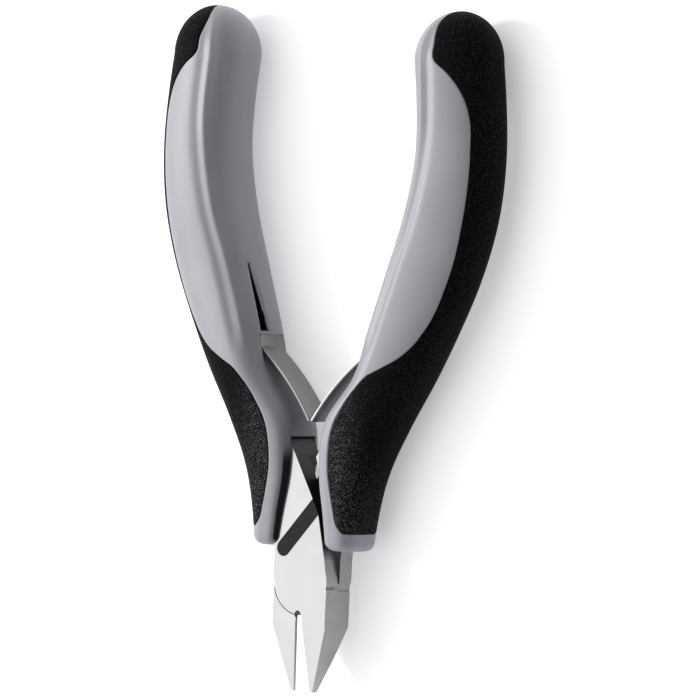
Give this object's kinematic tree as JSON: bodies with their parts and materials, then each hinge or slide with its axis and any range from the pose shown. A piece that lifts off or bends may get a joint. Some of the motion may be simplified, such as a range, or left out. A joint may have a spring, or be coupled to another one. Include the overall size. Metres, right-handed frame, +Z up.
{
  "type": "flush cutter",
  "caption": "Pointed spring-opened flush cutter with a lap joint, leaf springs and soft-skinned bowed grips, lying open on its back.",
  "frame": {"origin": "centre of the open tool's outline on the surface that it lies on", "axes": "+X to the right handle, +Y from the jaws to the grip ends, +Z up out of the front face; the hinge axis is parallel to Z"},
  "size_m": [0.07, 0.115, 0.0131],
  "materials": {
    "polished_steel": "mirror-polished tool steel, slightly dulled on the side faces",
    "spring_steel": "fine-ground spring steel",
    "bolt_steel": "turned steel with fine rings",
    "dark_enamel": "dark enamel fill, semi-gloss",
    "hard_grey": "satin moulded plastic, cool grey",
    "soft_black": "soft black elastomer with a fine spark-eroded grain"
  },
  "bodies": {
    "left_handle": {"front_lever": "polished_steel", "joint_bolt": "bolt_steel", "head_bar": "dark_enamel", "left_spring_tail": "spring_steel", "left_spring_rivet": "bolt_steel", "left_grip_body": "hard_grey", "left_grip_skin": "soft_black"},
    "right_handle": {"back_lever": "polished_steel", "right_spring_tail": "spring_steel", "right_spring_rivet": "bolt_steel", "right_grip_body": "hard_grey", "right_grip_skin": "soft_black"},
    "left_spring": {"left_spring_blade": "spring_steel"},
    "right_spring": {"right_spring_blade": "spring_steel"}
  },
  "joints": [
    {"name": "cutter_pivot", "type": "hinge", "parent": "left_handle", "child": "right_handle", "pos_m": [0, -0.0389, 0.0064], "axis": [0, 0, 1], "range_deg": [0, 10.7], "stiffness_Nm_per_rad": 1.5},
    {"name": "left_spring_flex", "type": "hinge", "parent": "left_handle", "child": "left_spring", "pos_m": [-0.011, -0.0004, 0.0064], "axis": [0, 0, 1], "range_deg": [-11.8, 0]},
    {"name": "right_spring_flex", "type": "hinge", "parent": "right_handle", "child": "right_spring", "pos_m": [0.011, -0.0004, 0.0064], "axis": [0, 0, 1], "range_deg": [0, 11.8]}
  ],
  "couplings": [
    {"joint": "left_spring_flex", "follows": "cutter_pivot", "ratio": -1.1},
    {"joint": "right_spring_flex", "follows": "cutter_pivot", "ratio": 1.1}
  ]
}
